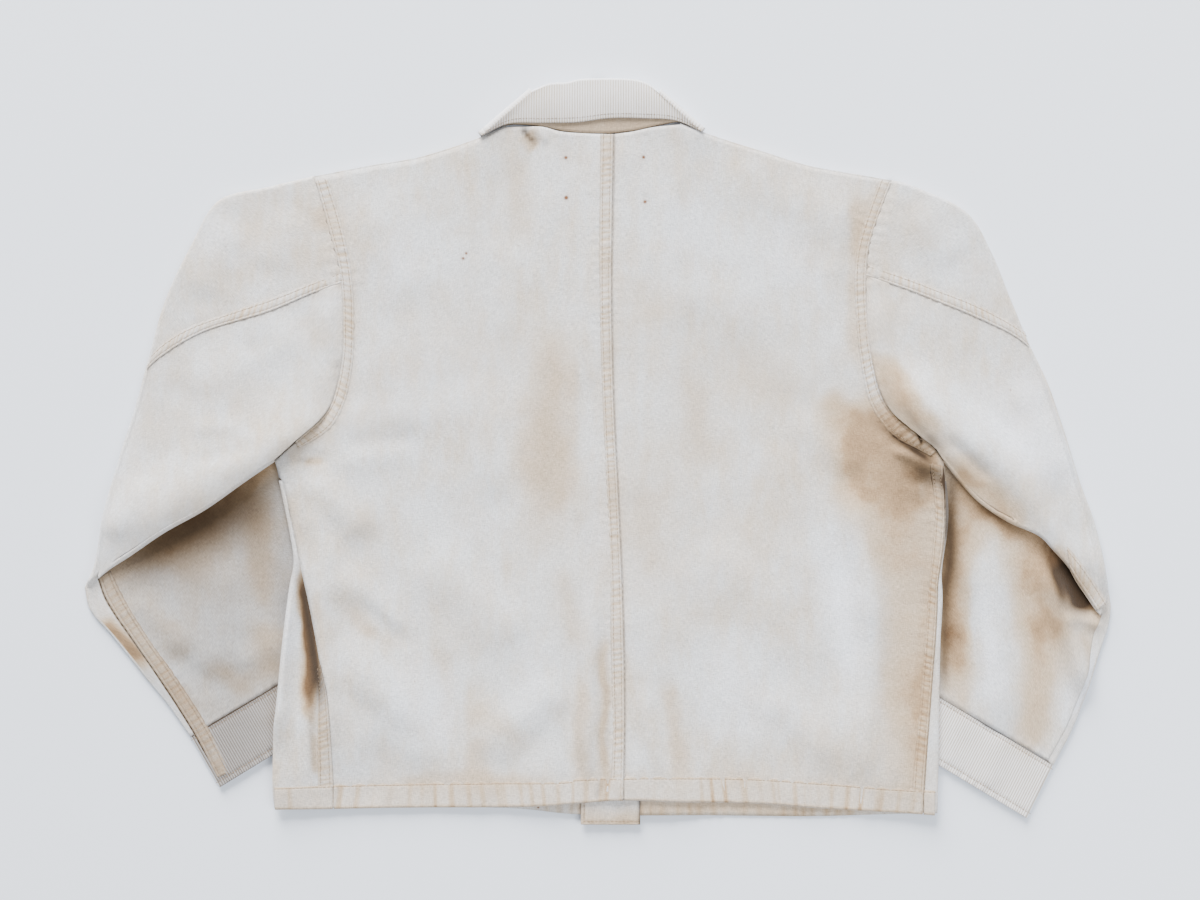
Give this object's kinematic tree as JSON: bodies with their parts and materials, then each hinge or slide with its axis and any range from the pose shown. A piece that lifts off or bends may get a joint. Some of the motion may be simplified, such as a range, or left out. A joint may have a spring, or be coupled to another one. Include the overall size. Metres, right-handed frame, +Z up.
{
  "type": "brush jacket",
  "caption": "Washed pale cotton duck brush jacket with corduroy collar and cuffs, laid flat face down with both forearms folded in under the body.",
  "frame": {"origin": "middle of the jacket's outline on the surface that it lies on", "axes": "+X towards the wearer's right arm, +Y from the hem towards the collar, +Z up, out of the back of the jacket"},
  "size_m": [0.9264, 0.6721, 0.0131],
  "materials": {
    "duck": "washed plain-weave cotton duck, matt, tan stains along the seams",
    "corduroy": "fine-wale cotton corduroy, soft nap",
    "button": "dull tarnished brass"
  },
  "bodies": {
    "root": {"back_left": "duck", "back_right": "duck", "front_left": "duck", "front_right": "duck", "button_stand": "duck", "sleeve_left_top": "duck", "sleeve_left_under": "duck", "sleeve_right_top": "duck", "sleeve_right_under": "duck", "collar_under": "duck", "collar_top": "corduroy", "cuff_left": "corduroy", "cuff_right": "corduroy", "button_1": "button", "button_2": "button", "button_3": "button", "button_4": "button", "button_5": "button"}
  },
  "joints": []
}
